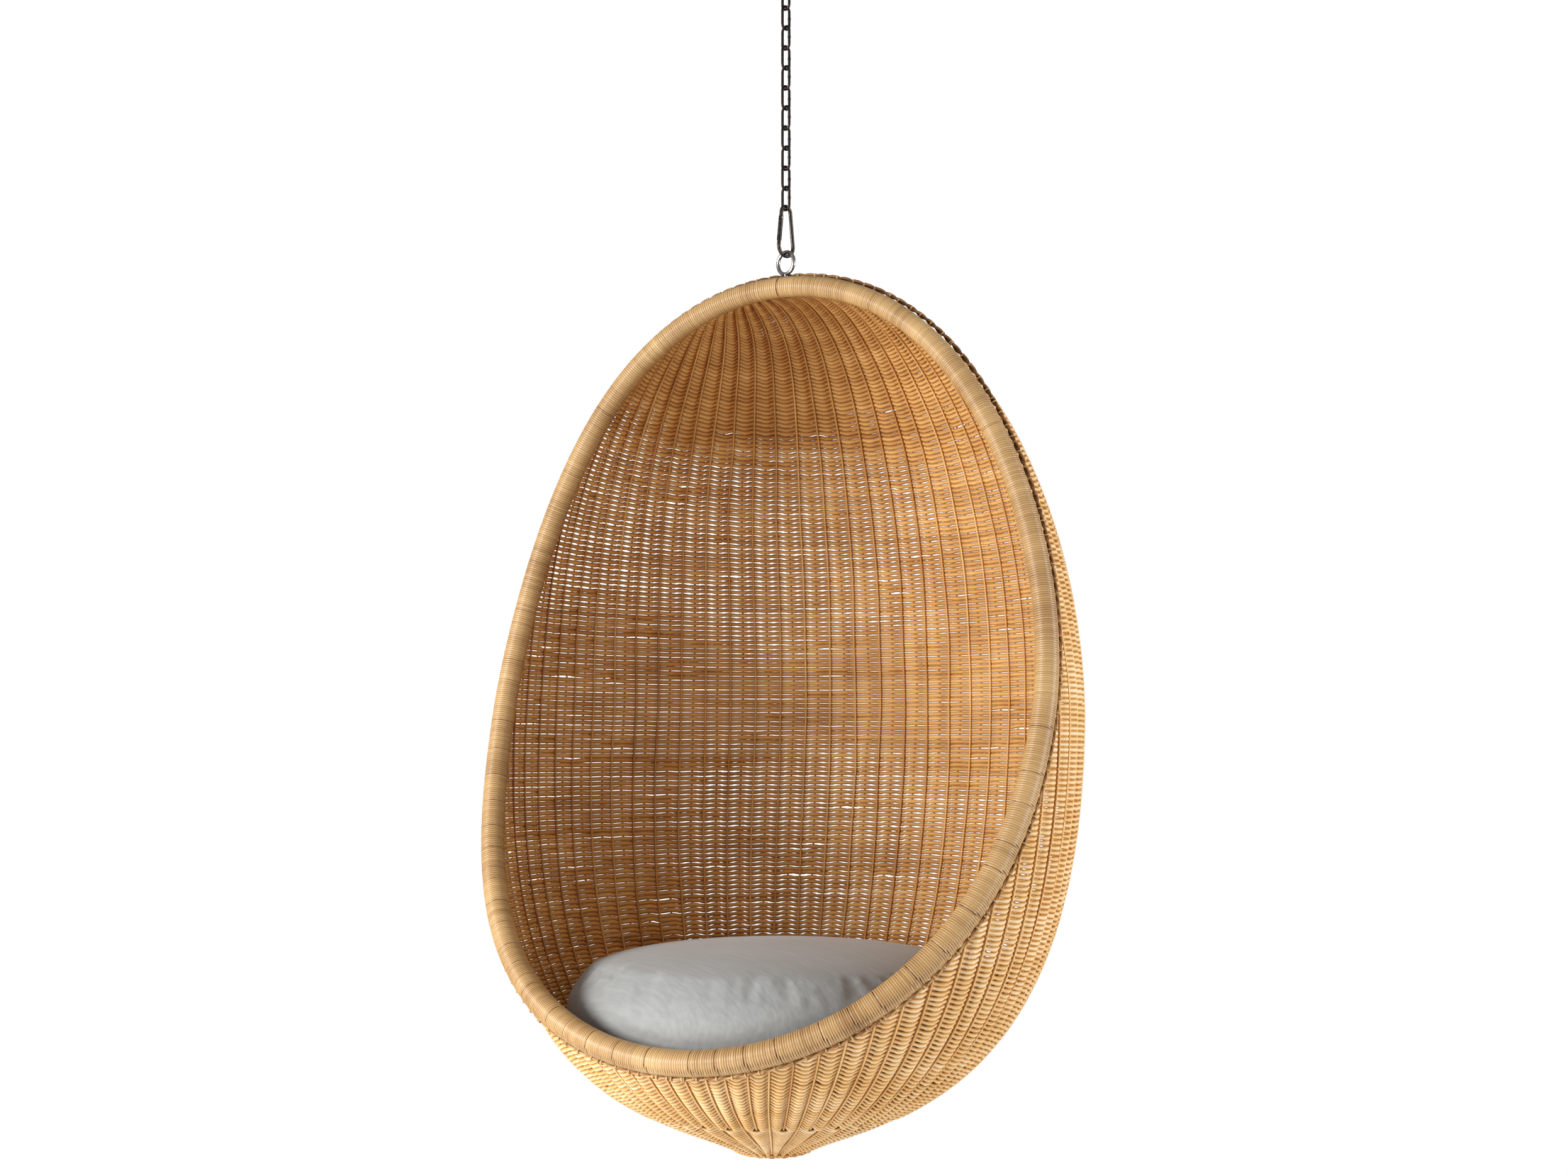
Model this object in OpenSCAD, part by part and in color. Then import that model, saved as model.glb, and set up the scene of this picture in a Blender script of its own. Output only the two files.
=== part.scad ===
// Hanging egg chair: ceiling swivel, chain, snap hook and a woven egg with a seat cushion.
// Frame: origin in the ceiling plane on the chain's axis, +Z up, the chair faces -Y.

/* [Chain] */
// How many links the chain has
link_count = 11; // [11:1:11]
// Inner length of a link, the pitch of the chain (mm)
link_pitch = 30; // [28:1:32]
// Wire diameter of a link (mm)
link_wire = 4; // [3:0.5:4]
// Outer width of a link (mm)
link_width = 18; // [17:0.5:20]
// How far the first link's plane is turned from the X axis (deg)
chain_turn = -21.5; // [-90:0.5:90]

/* [Snap hook] */
// Wire diameter of the hook (mm)
hook_wire = 5.5; // [5:0.5:6]
// Centre line radius of the hook's narrow end (mm)
hook_top_r = 9; // [8.5:0.5:10]
// Centre line radius of the hook's wide end (mm)
hook_low_r = 14.5; // [14:0.5:16]
// Distance between the centres of the two ends (mm)
hook_reach = 50; // [48:1:56]

/* [Eye bolt] */
// Wire diameter of the ring (mm)
eye_wire = 5.6; // [5:0.2:6]
// Centre line radius of the ring (mm)
eye_r = 16.2; // [15:0.2:18]

/* [Egg] */
// Height from the base hub to the crown (mm)
egg_height = 1240; // [1200:10:1280]
// Widest radius (mm)
egg_radius = 425; // [410:5:440]
// Wall thickness of the weave (mm)
wall = 8; // [7:0.5:9]
// Radius of the wrapped rim at the top (mm)
rim_top_r = 15.2; // [14:0.2:17]
// Radius of the wrapped rim at the bottom (mm)
rim_low_r = 17.6; // [16:0.2:19]
// Thickness of the peel wrapping (mm)
wrap_skin = 3.2; // [2:0.2:4]

/* [Cushion] */
// Radius of the cushion (mm)
cushion_r = 302; // [296:2:304]
// Thickness of the cover (mm)
cover_skin = 3; // [2:0.5:4]

/* [Hidden] */

STEEL = [0.35, 0.34, 0.33];
BRIGHT = [0.72, 0.72, 0.74];
CANE = [0.85, 0.66, 0.42];
PEEL = [0.89, 0.75, 0.55];
CLOTH = [0.72, 0.73, 0.72];
gap = 0.15;              // half the play between two linked wires
run = 0.05;              // radial play of a running fit

// ceiling fitting, from the ceiling down
plate_r = 45;
plate_t = 5;
boss_r = 17;
boss_low = -21;
pit_r = 12;
pit_low = -15;
stem_r = 5;
screw_pcd = 66;
screw_r = 3.25;
ring_wire = 6;
ring_r = 14;
ring_z = -40.5;
washer_t = 2;
nut_t = 8;

// heights down the chain, each where two wires meet
link_r = link_wire / 2;
link_a = link_width / 2 - link_r;
join_top = ring_z - ring_r + ring_wire / 2 + gap;
join_hook = join_top - link_pitch * link_count;
hook_r = hook_wire / 2;
hook_top_z = join_hook + gap + hook_r - hook_top_r;
hook_low_z = hook_top_z - hook_reach;
hook_turn = chain_turn + 90;
join_eye = hook_low_z - hook_low_r + hook_r + gap;
eye_tube = eye_wire / 2;
eye_z = join_eye + gap + eye_tube - eye_r;

// the leg of the hook, from its narrow end to its wide end
leg_a = asin((hook_low_r - hook_top_r) / hook_reach);
leg_up = [hook_top_r * cos(leg_a), hook_top_r * sin(leg_a)];
leg_down = [hook_low_r * cos(leg_a), hook_low_r * sin(leg_a) - hook_reach];
leg_run = norm(leg_up - leg_down);
gate_from = 10;          // from the top of the leg down to the pin
gate_long = 30;          // from the pin to the latch
gate_r = 3.4;
tongue = 2.6;            // thickness of the flattened bar in the gate's forks
pin_r = 1.2;

// egg
crown_y = 70;            // the crown stands behind the eye
lean = 0.0805;           // the slices move forward by this much per unit of drop
hub_r = 50;
belly = 0.4824 * egg_height;

function bez(p, t) = pow(1 - t, 3) * p[0] + 3 * pow(1 - t, 2) * t * p[1]
    + 3 * (1 - t) * t * t * p[2] + t * t * t * p[3];
low_curve = [[hub_r, 4], [160, 60], [egg_radius, 70], [egg_radius, belly]];
high_curve = [[egg_radius, belly], [egg_radius, belly + 243],
              [303, egg_height], [0, egg_height]];
steps = 90;
outline = concat([for (i = [0 : steps]) bez(low_curve, i / steps)],
                 [for (i = [1 : steps]) bez(high_curve, i / steps)]);
outline_zr = [for (p = outline) [p[1], p[0]]];
function rad(z) = lookup(z, outline_zr);
function axis_y(z) = crown_y - lean * (egg_height - z);
// the opening: everything in front of this line of y over height is cut away
function cut_y(z) = let (s = z / egg_height)
    -470 + s * (1108 + s * (-351 + s * (-870 + s * 593)));
heart = [0, axis_y(belly), belly];

function inside(p) = p[2] > 0 && p[2] < egg_height
    && norm([p[0], p[1] - axis_y(p[2])]) < rad(p[2]);
function hit(d, lo = 300, hi = 760, n = 18) = n == 0 ? (lo + hi) / 2
    : let (m = (lo + hi) / 2) inside(heart + m * d) ? hit(d, m, hi, n - 1) : hit(d, lo, m, n - 1);
function ray(a, b) = [sin(a) * sin(b), cos(a), sin(a) * cos(b)];
function skin(a, b) = let (d = ray(a, b)) heart + hit(d) * d;
function behind(p) = p[1] > cut_y(p[2]);
function brim(b, lo = 20, hi = 170, n = 16) = n == 0 ? (lo + hi) / 2
    : let (m = (lo + hi) / 2) behind(skin(m, b)) ? brim(b, m, hi, n - 1) : brim(b, lo, m, n - 1);

// the rim's centre line, and at each of its points the outward and the backward direction
turns = 72;
rim_b = [for (i = [0 : turns - 1]) 360 * i / turns];
rim_a = [for (b = rim_b) brim(b)];
rim_p = [for (i = [0 : turns - 1]) skin(rim_a[i], rim_b[i])];
function unit(v) = v / norm(v);
rim_t = [for (i = [0 : turns - 1]) unit(rim_p[(i + 1) % turns] - rim_p[(i + turns - 1) % turns])];
rim_o = [for (i = [0 : turns - 1]) let (d = ray(rim_a[i], rim_b[i]), t = rim_t[i])
    unit(d - (d * t) * t)];
rim_k = [for (i = [0 : turns - 1]) cross(rim_o[i], rim_t[i])];
function rim_r(i) = rim_low_r + (rim_top_r - rim_low_r) * rim_p[i][2] / egg_height;

shank_r = 3;
nut_h = 5;
nut_z = eye_z - eye_r - eye_tube - 2.5 - 2 * rim_top_r + 6;
cord_r = 3;
cord_out = 11;
cord_back = 16.5;

// the egg hangs with the rim's top just under the ring of the eye bolt
rim_top_z = eye_z - eye_r - eye_tube - 2.5 - rim_top_r;
hub_z = rim_top_z - rim_p[0][2];
eye_back = 6;            // the bolt goes through the rim this far behind its middle

// a closed tube: at point i the circle of radius r(i) is centred off the rim's line
module hoop(less, out = 0, back = 0, sides = 10) {
    pts = [for (i = [0 : turns - 1], k = [0 : sides - 1])
        let (r = less < 0 ? -less : rim_r(i) - less, w = 360 * k / sides)
        rim_p[i] + (out + r * cos(w)) * rim_o[i] + (back + r * sin(w)) * rim_k[i]];
    polyhedron(pts, [for (i = [0 : turns - 1], k = [0 : sides - 1], h = [0, 1])
        let (j = (i + 1) % turns, m = (k + 1) % sides)
        h == 0 ? [i * sides + k, i * sides + m, j * sides + m]
               : [i * sides + k, j * sides + m, j * sides + k]]);
}

// a straight round bar between two points
module rod(from, to, r, fn = 24) {
    v = to - from;
    translate(from) rotate([0, acos(v[2] / norm(v)), atan2(v[1], v[0])])
        cylinder(h = norm(v), r = r, $fn = fn);
}

module bend(big, small, angle, from = 0) {
    rotate([90, 0, 0]) rotate([0, 0, from])
        rotate_extrude(angle = angle, $fn = 96) translate([big, 0]) circle(r = small, $fn = 48);
}

module link(n) {
    top = join_top - link_pitch * (n - 1) + gap + link_r - link_a;
    low = join_top - link_pitch * n - gap - link_r + link_a;
    rotate([0, 0, chain_turn + (n % 2 == 1 ? 0 : 90)]) {
        translate([0, 0, top]) bend(link_a, link_r, 180);
        translate([0, 0, low]) bend(link_a, link_r, 180, 180);
        for (s = [-1, 1])
            translate([s * link_a, 0, low]) cylinder(h = top - low, r = link_r, $fn = 48);
        // the weld, a short swelling on one leg
        translate([link_a, 0, (top + low) / 2 - 1.6]) cylinder(h = 3.2, r = link_r + 0.35, $fn = 48);
    }
}

module chain_link_01() color(STEEL) link(1);
module chain_link_02() color(STEEL) link(2);
module chain_link_03() color(STEEL) link(3);
module chain_link_04() color(STEEL) link(4);
module chain_link_05() color(STEEL) link(5);
module chain_link_06() color(STEEL) link(6);
module chain_link_07() color(STEEL) link(7);
module chain_link_08() color(STEEL) link(8);
module chain_link_09() color(STEEL) link(9);
module chain_link_10() color(STEEL) link(10);
module chain_link_11() color(STEEL) link(11);

module ceiling_plate() color(STEEL) difference() {
    union() {
        translate([0, 0, -plate_t]) cylinder(h = plate_t, r = plate_r, $fn = 96);
        translate([0, 0, boss_low]) cylinder(h = -boss_low, r = boss_r, $fn = 96);
    }
    translate([0, 0, pit_low]) cylinder(h = 20, r = pit_r, $fn = 96);
    translate([0, 0, boss_low - 1]) cylinder(h = 10, r = stem_r + run, $fn = 96);
    for (a = [45 : 90 : 315]) rotate([0, 0, a]) translate([screw_pcd / 2, 0, 0]) {
        translate([0, 0, -plate_t - 1]) cylinder(h = plate_t + 2, r = screw_r, $fn = 48);
        translate([0, 0, -plate_t - 0.01])
            cylinder(h = 3, r1 = screw_r + 3, r2 = screw_r, $fn = 48);
    }
}

module thrust_washer() color([0.72, 0.55, 0.25]) difference() {
    translate([0, 0, pit_low]) cylinder(h = washer_t, r = pit_r - 1, $fn = 96);
    translate([0, 0, pit_low - 1]) cylinder(h = washer_t + 2, r = stem_r + run, $fn = 96);
}

module swivel_eye() color(STEEL) {
    translate([0, 0, ring_z]) rotate([0, 0, hook_turn]) rotate([90, 0, 0])
        rotate_extrude($fn = 96) translate([ring_r, 0]) circle(r = ring_wire / 2, $fn = 48);
    translate([0, 0, ring_z + ring_r]) cylinder(h = boss_low - 0.3 - ring_z - ring_r, r = 7.5, $fn = 96);
    translate([0, 0, ring_z + ring_r]) cylinder(h = -2 - ring_z - ring_r, r = stem_r, $fn = 96);
}

module swivel_nut() color(STEEL) difference() {
    translate([0, 0, pit_low + washer_t + 0.1]) cylinder(h = nut_t, r = 9.8, $fn = 6);
    translate([0, 0, pit_low]) cylinder(h = 20, r = stem_r + run, $fn = 96);
}

// places its children in the hook's own plane, x across and z up, at the narrow end
module at_hook() {
    translate([0, 0, hook_top_z]) rotate([0, 0, hook_turn]) children();
}

// places its children on the gate's leg: origin at the pin, -Z down the leg, +X inward
module at_leg() {
    translate([-leg_up[0], 0, leg_up[1]]) rotate([0, leg_a, 0])
        translate([0, 0, -gate_from]) children();
}

module hook_body() color(STEEL) at_hook() difference() {
    union() {
        bend(hook_top_r, hook_r, 180 - 2 * leg_a, leg_a);
        translate([0, 0, -hook_reach]) bend(hook_low_r, hook_r, 180 + 2 * leg_a, 180 - leg_a);
        rod([leg_up[0], 0, leg_up[1]], [leg_down[0], 0, leg_down[1]], hook_r, 48);
        // a faint swelling where each bend runs into a leg
        for (x = [-1, 1], q = [leg_up, leg_down])
            translate([x * q[0], 0, q[1]]) sphere(r = hook_r + 0.15, $fn = 48);
        at_leg() {
            translate([0, 0, 3.9]) cylinder(h = gate_from - 3.9, r = hook_r, $fn = 48);
            translate([0, 0, gate_from - leg_run])
                cylinder(h = leg_run - gate_from - gate_long - 4.4, r = hook_r, $fn = 48);
            // the two flattened ends that sit in the gate's forks
            rotate([90, 0, 0]) cylinder(h = tongue, r = 2.9, center = true, $fn = 48);
            translate([-2.4, -tongue / 2, 0]) cube([4.8, tongue, 4.4]);
            translate([-2.4, -tongue / 2, -gate_long - 5]) cube([4.8, tongue, 6.5]);
        }
    }
    at_leg() rotate([90, 0, 0]) cylinder(h = 9, r = pin_r, center = true, $fn = 48);
}

module hook_gate() color(STEEL) at_hook() at_leg() difference() {
    intersection() {
        translate([0, 0, -gate_long - 4]) cylinder(h = gate_long + 8, r = gate_r, $fn = 48);
        union() {
            rotate([90, 0, 0]) cylinder(h = 8, r = gate_r + 0.15, center = true, $fn = 48);
            translate([-5, -5, -gate_long - 5]) cube([10, 10, gate_long + 5]);
        }
    }
    translate([-5, -tongue / 2 - 0.2, -4.2]) cube([10, tongue + 0.4, 10]);
    translate([-5, -tongue / 2 - 0.2, -gate_long - 6]) cube([10, tongue + 0.4, 8]);
    rotate([90, 0, 0]) cylinder(h = 9, r = pin_r + run, center = true, $fn = 48);
    translate([0, 0, -17]) cylinder(h = 14, r = 1.6, $fn = 48);
}

module gate_pin() color(BRIGHT) at_hook() at_leg()
    rotate([90, 0, 0]) cylinder(h = 2 * gate_r - 0.6, r = pin_r, center = true, $fn = 48);

module gate_spring() color(BRIGHT) at_hook() at_leg() translate([0, 0, -16.8])
    linear_extrude(height = 13.6, twist = -2160, slices = 72)
        translate([1.05, 0]) circle(r = 0.25, $fn = 6);

module eye_bolt() color(BRIGHT) {
    translate([0, 0, eye_z]) rotate([0, 0, chain_turn]) rotate([90, 0, 0])
        rotate_extrude($fn = 96) translate([eye_r, 0]) circle(r = eye_tube, $fn = 48);
    translate([0, 0, nut_z - nut_h - 0.4])
        cylinder(h = eye_z - eye_r - nut_z + nut_h + 0.4, r = shank_r, $fn = 48);
}

module eye_washer() color(BRIGHT) difference() {
    translate([0, 0, nut_z]) cylinder(h = 1.2, r = 6, $fn = 48);
    translate([0, 0, nut_z - 1]) cylinder(h = 4, r = shank_r + run, $fn = 48);
}

module eye_nut() color(BRIGHT) difference() {
    translate([0, 0, nut_z - nut_h]) cylinder(h = nut_h, r = 5.77, $fn = 6);
    translate([0, 0, nut_z - nut_h - 1]) cylinder(h = nut_h + 2, r = shank_r + run, $fn = 48);
}

// places its children with the bolt's hole in the rim on the chain's axis
module at_egg() translate([0, -rim_p[0][1] - eye_back, hub_z]) children();

module nut_pit(less) {
    translate([0, 0, nut_z - nut_h - less]) cylinder(h = nut_h + 1.2 + less, r = 6.6, $fn = 48);
    translate([0, 0, nut_z]) cylinder(h = 60, r = shank_r + run, $fn = 48);
}

module rim_pole() color(CANE) difference() {
    at_egg() hoop(wrap_skin);
    nut_pit(4);
}

module rim_wrap() color(PEEL) difference() {
    at_egg() hoop(0);
    at_egg() hoop(wrap_skin);
    nut_pit(0.5);
}

module border_cord() color([0.45, 0.30, 0.18]) at_egg() hoop(-cord_r, cord_out, cord_back, 6);

// the wall's grid runs from the middle of the back out to the rim
wall_turns = 60;
wall_rings = 24;
hub_ring = 0.7;          // share of the way to the rim at which the base lies
function spread(u) = u - 0.08 * (sin(360 * (u - hub_ring)) + sin(360 * hub_ring));
wall_b = [for (i = [0 : wall_turns - 1]) let (x = 360 * i / wall_turns) x - 10 * sin(2 * x)];
wall_end = [for (b = wall_b) let (a = brim(b))
    a - (rim_low_r + 3.5) / hit(ray(a, b)) * 180 / PI];
function grid(t) = concat([skin(0, 0) - t * ray(0, 0)],
    [for (i = [1 : wall_rings], j = [0 : wall_turns - 1])
        let (a = wall_end[j] * spread(i / wall_rings)) skin(a, wall_b[j]) - t * ray(a, wall_b[j])]);
function cell(i, j) = 1 + (i - 1) * wall_turns + j % wall_turns;

module wall_solid() {
    count = 1 + wall_rings * wall_turns;
    faces = concat(
        [for (j = [0 : wall_turns - 1]) [0, cell(1, j + 1), cell(1, j)]],
        [for (i = [1 : wall_rings - 1], j = [0 : wall_turns - 1], h = [0, 1]) h == 0
            ? [cell(i, j), cell(i, j + 1), cell(i + 1, j + 1)]
            : [cell(i, j), cell(i + 1, j + 1), cell(i + 1, j)]]);
    rim = wall_rings;
    edge = [for (j = [0 : wall_turns - 1], h = [0, 1]) h == 0
        ? [cell(rim, j), cell(rim, j + 1), count + cell(rim, j + 1)]
        : [cell(rim, j), count + cell(rim, j + 1), count + cell(rim, j)]];
    back = [for (f = faces) [count + f[0], count + f[2], count + f[1]]];
    polyhedron(concat(grid(0), grid(wall)), concat(faces, back, edge));
}

module woven_wall() color(CANE) difference() {
    at_egg() wall_solid();
    at_egg() translate([0, axis_y(0), -20]) cylinder(h = 60, r = hub_r + 4, $fn = 96);
}

module base_hub() color(CANE) at_egg() translate([0, axis_y(0), 0]) rotate_extrude($fn = 96)
    polygon([[0, 1], [hub_r - 4, 1], [hub_r + 1, 3.5], [hub_r + 3.6, 7.5],
             [hub_r + 3.6, 12], [hub_r - 2, 14], [0, 14]]);

// cushion outline, radius over height, kept clear of the leaning bowl
seat_y = -8;
cushion_low = [for (z = [18 : 12 : 162]) [rad(z - 11) - 5 - (seat_y - axis_y(z)), z]];
low_end = cushion_low[len(cushion_low) - 1];
side_curve = [low_end, [cushion_r - 3, 178], [cushion_r, 190], [cushion_r, 206]];
top_curve = [[cushion_r, 206], [cushion_r, 262], [cushion_r - 70, 288], [0, 291]];
cushion_line = concat([[0, 18]], cushion_low,
    [for (i = [1 : 5]) bez(side_curve, i / 5)], [for (i = [1 : 14]) bez(top_curve, i / 14)]);
function across(v) = let (u = unit(v)) [-u[1], u[0]];
function shrunk(line, d) = let (n = len(line)) [for (i = [0 : n - 1])
    i == 0 ? line[0] + [0, d] : i == n - 1 ? line[i] - [0, d]
    : line[i] + d * across(line[i + 1] - line[i - 1])];

module cushion_cover() color(CLOTH) at_egg() translate([0, seat_y, 0]) difference() {
    rotate_extrude($fn = 96) polygon(cushion_line);
    rotate_extrude($fn = 96) polygon(shrunk(cushion_line, cover_skin));
}

module cushion_filling() color([0.95, 0.95, 0.92]) at_egg() translate([0, seat_y, 0])
    rotate_extrude($fn = 96) polygon(shrunk(cushion_line, cover_skin));

ceiling_plate();
thrust_washer();
swivel_eye();
swivel_nut();
chain_link_01();
chain_link_02();
chain_link_03();
chain_link_04();
chain_link_05();
chain_link_06();
chain_link_07();
chain_link_08();
chain_link_09();
chain_link_10();
chain_link_11();
hook_body();
hook_gate();
gate_pin();
gate_spring();
eye_bolt();
eye_washer();
eye_nut();
rim_pole();
rim_wrap();
border_cord();
woven_wall();
base_hub();
cushion_cover();
cushion_filling();
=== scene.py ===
"""Hanging egg chair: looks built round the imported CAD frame. Lengths are in mm until a mesh is made."""
import math
import bpy
import numpy as np
from mathutils import Matrix, Vector


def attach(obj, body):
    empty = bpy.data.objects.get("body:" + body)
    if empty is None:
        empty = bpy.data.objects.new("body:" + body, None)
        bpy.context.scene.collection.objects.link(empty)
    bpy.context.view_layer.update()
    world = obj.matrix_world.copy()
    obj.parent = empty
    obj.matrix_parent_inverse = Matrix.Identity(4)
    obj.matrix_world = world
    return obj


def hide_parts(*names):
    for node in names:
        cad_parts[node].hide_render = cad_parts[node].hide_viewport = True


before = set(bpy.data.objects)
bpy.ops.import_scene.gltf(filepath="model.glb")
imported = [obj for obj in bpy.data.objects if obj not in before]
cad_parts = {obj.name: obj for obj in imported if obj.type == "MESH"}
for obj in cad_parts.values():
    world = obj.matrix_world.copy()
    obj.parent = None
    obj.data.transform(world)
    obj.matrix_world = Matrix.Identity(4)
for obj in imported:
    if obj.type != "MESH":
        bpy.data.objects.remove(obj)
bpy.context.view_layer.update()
rng = np.random.default_rng(7)
MM = 0.001
ROUND = 2 * math.pi

# ---------------------------------------------------------------- the egg's surface
HEIGHT, WIDE, HUB = 1240.0, 425.0, 50.0
BELLY = 0.4824 * HEIGHT          # height of the widest place
CROWN_Y, LEAN = 70.0, 0.0805     # the egg's axis leans forward towards the base
RIM_TOP_R, RIM_LOW_R = 15.2, 17.6
RIM_TOP_Z = -499.0


def bezier(p, t):
    t = np.asarray(t)[:, None]
    p = np.array(p, float)
    return (1 - t) ** 3 * p[0] + 3 * (1 - t) ** 2 * t * p[1] + 3 * (1 - t) * t * t * p[2] + t ** 3 * p[3]


STEPS = np.linspace(0, 1, 500)
LOW = bezier([(HUB, 4), (160, 60), (WIDE, 70), (WIDE, BELLY)], STEPS)
HIGH = bezier([(WIDE, BELLY), (WIDE, BELLY + 243), (303, HEIGHT), (0, HEIGHT)], STEPS)
LINE = np.vstack([LOW, HIGH[1:]])
SLOPE = np.gradient(LINE[:, 0]) / np.maximum(np.gradient(LINE[:, 1]), 1e-4)


def rad(z):
    """The egg's radius at a height."""
    return np.interp(z, LINE[:, 1], LINE[:, 0])


def axis_y(z):
    """Where the egg's leaning axis is at a height."""
    return CROWN_Y - LEAN * (HEIGHT - z)


def cut_y(z):
    """The curved cut of the entrance: the wall stands behind this Y."""
    s = z / HEIGHT
    return -470 + s * (1108 + s * (-351 + s * (-870 + s * 593)))


def inside(p):
    z = p[..., 2]
    return (z > 0) & (z < HEIGHT) & (np.hypot(p[..., 0], p[..., 1] - axis_y(z)) < rad(z))


def shoot(start, ways, far=1100.0):
    """Where rays from a point inside leave the egg."""
    lo = np.zeros(ways.shape[:-1])
    hi = np.full(ways.shape[:-1], far)
    for _ in range(34):
        mid = (lo + hi) / 2
        ok = inside(start + mid[..., None] * ways)
        lo, hi = np.where(ok, mid, lo), np.where(ok, hi, mid)
    return start + ((lo + hi) / 2)[..., None] * ways


def unit(v):
    return v / np.maximum(np.linalg.norm(v, axis=-1, keepdims=True), 1e-9)


def normal(p):
    """The egg's outward normal at points on its surface."""
    z = p[..., 2]
    y = p[..., 1] - axis_y(z)
    r = np.maximum(np.hypot(p[..., 0], y), 1e-6)
    slope = np.interp(z, LINE[:, 1], SLOPE)
    return unit(np.stack([p[..., 0] / r, y / r, -LEAN * y / r - slope], -1))


HEART = np.array([0, axis_y(BELLY), BELLY])


def ray(a, b):
    return np.stack([np.sin(a) * np.sin(b), np.cos(a), np.sin(a) * np.cos(b)], -1)


def brim(b):
    """The rim's centre line, from rays out of the egg's heart that just meet the cut."""
    lo, hi = np.full(b.shape, math.radians(20)), np.full(b.shape, math.radians(170))
    for _ in range(26):
        mid = (lo + hi) / 2
        p = shoot(HEART, ray(mid, b))
        ok = p[..., 1] > cut_y(p[..., 2])
        lo, hi = np.where(ok, mid, lo), np.where(ok, hi, mid)
    return shoot(HEART, ray(mid, b))


def run(p):
    """The length along a path at each of its points."""
    return np.concatenate([[0], np.cumsum(np.linalg.norm(np.diff(p, axis=0), axis=1))])


def even(path, step, closed=False):
    """The path again, with points a step apart."""
    p = np.vstack([path, path[:1]]) if closed else path
    s = run(p)
    n = max(2, int(round(s[-1] / step)))
    u = np.linspace(0, s[-1], n, endpoint=False) if closed else np.linspace(0, s[-1], n + 1)
    return np.stack([np.interp(u, s, p[:, i]) for i in range(p.shape[1])], -1)


RIM = brim(np.linspace(0, ROUND, 361)[:-1])
BOLT_BACK = 6.0          # the bolt goes through the rim this far behind its middle
EGG = np.array([0, -RIM[0][1] - BOLT_BACK, RIM_TOP_Z - RIM[0][2]])     # the egg's origin in the frame


def ring_frame(p):
    """Directions square to a closed path on the egg: out of the egg, and along its wall."""
    tan = unit(np.roll(p, -1, 0) - np.roll(p, 1, 0))
    out = normal(p)
    out = unit(out - (out * tan).sum(-1, keepdims=True) * tan)
    return out, np.cross(out, tan)


# ---------------------------------------------------------------- meshes


def grid(rings, points, closed):
    """Faces between neighbouring rings of points; closed joins the last ring to the first."""
    i = np.arange(rings if closed else rings - 1)[:, None]
    k = np.arange(points)[None, :]
    j, m = (i + 1) % rings, (k + 1) % points
    return np.stack([i * points + k, i * points + m, j * points + m, j * points + k], -1).reshape(-1, 4)


def mesh_of(name, verts, quads, mat, tone=None, tris=None):
    """A mesh object from arrays of points in mm and of faces."""
    me = bpy.data.meshes.new(name)
    v = (np.asarray(verts, float) * MM).astype(np.float32)
    me.vertices.add(len(v))
    me.vertices.foreach_set("co", v.ravel())
    loops = [np.asarray(quads, np.int32).ravel()]
    sizes = [np.full(len(quads), 4, np.int32)]
    if tris is not None and len(tris):
        loops.append(np.asarray(tris, np.int32).ravel())
        sizes.append(np.full(len(tris), 3, np.int32))
    loops, sizes = np.concatenate(loops), np.concatenate(sizes)
    me.loops.add(len(loops))
    me.loops.foreach_set("vertex_index", loops)
    me.polygons.add(len(sizes))
    me.polygons.foreach_set("loop_start", np.concatenate([[0], np.cumsum(sizes)[:-1]]).astype(np.int32))
    me.polygons.foreach_set("loop_total", sizes)
    me.update(calc_edges=True)
    me.validate()
    me.polygons.foreach_set("use_smooth", np.ones(len(me.polygons), bool))
    if tone is not None:
        a = me.attributes.new("tone", "FLOAT", "POINT")
        a.data.foreach_set("value", np.asarray(tone, np.float32))
    ob = bpy.data.objects.new(name, me)
    bpy.context.collection.objects.link(ob)
    me.materials.append(mat)
    return ob


class Tubes:
    """Collects swept tubes and makes one mesh of them."""

    def __init__(self, shade=0.0):
        self.v, self.q, self.t, self.tone, self.n = [], [], [], [], 0
        self.shade = shade           # painted shade: how much deeper in tone the sides are than the two faces, with the face turned inward darker than the face turned outward

    def add(self, path, up, across, high, sides, closed, tone):
        """across and high are the half widths along up x tangent and along up."""
        n = len(path)
        if closed:
            tan = unit(np.roll(path, -1, 0) - np.roll(path, 1, 0))
        else:
            tan = unit(np.gradient(path, axis=0))
        up = unit(up - (up * tan).sum(-1, keepdims=True) * tan)
        side = np.cross(up, tan)
        w = np.arange(sides) * ROUND / sides + math.pi / sides
        a = np.broadcast_to(np.asarray(across, float), (n,))[:, None, None]
        h = np.broadcast_to(np.asarray(high, float), (n,))[:, None, None]
        ring = path[:, None] + a * np.cos(w)[None, :, None] * side[:, None] \
            + h * np.sin(w)[None, :, None] * up[:, None]
        self.v.append(ring.reshape(-1, 3))
        self.q.append(grid(n, sides, closed) + self.n)
        if not closed:
            last = (n - 1) * sides
            for k in range(1, sides - 1):
                self.t.append([self.n, self.n + k + 1, self.n + k])
                self.t.append([self.n + last, self.n + last + k, self.n + last + k + 1])
        tones = np.asarray(tone, float).reshape(-1, 1) if np.ndim(tone) else np.full((n, 1), tone)
        # painted shade: the sides, where strands meet their neighbours, are darker than the faces, and the
        # face turned inward is darker than the face turned outward
        face = np.sin(w)[None, :]
        self.tone.append((tones + self.shade * (np.abs(face) - 0.7 + 0.2 * face)).ravel())
        self.n += n * sides

    def faces(self):
        return sum(len(q) for q in self.q) * 2 + len(self.t)

    def make(self, name, mat):
        return mesh_of(name, np.vstack(self.v), np.vstack(self.q), mat, np.concatenate(self.tone),
                       tris=self.t)


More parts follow.
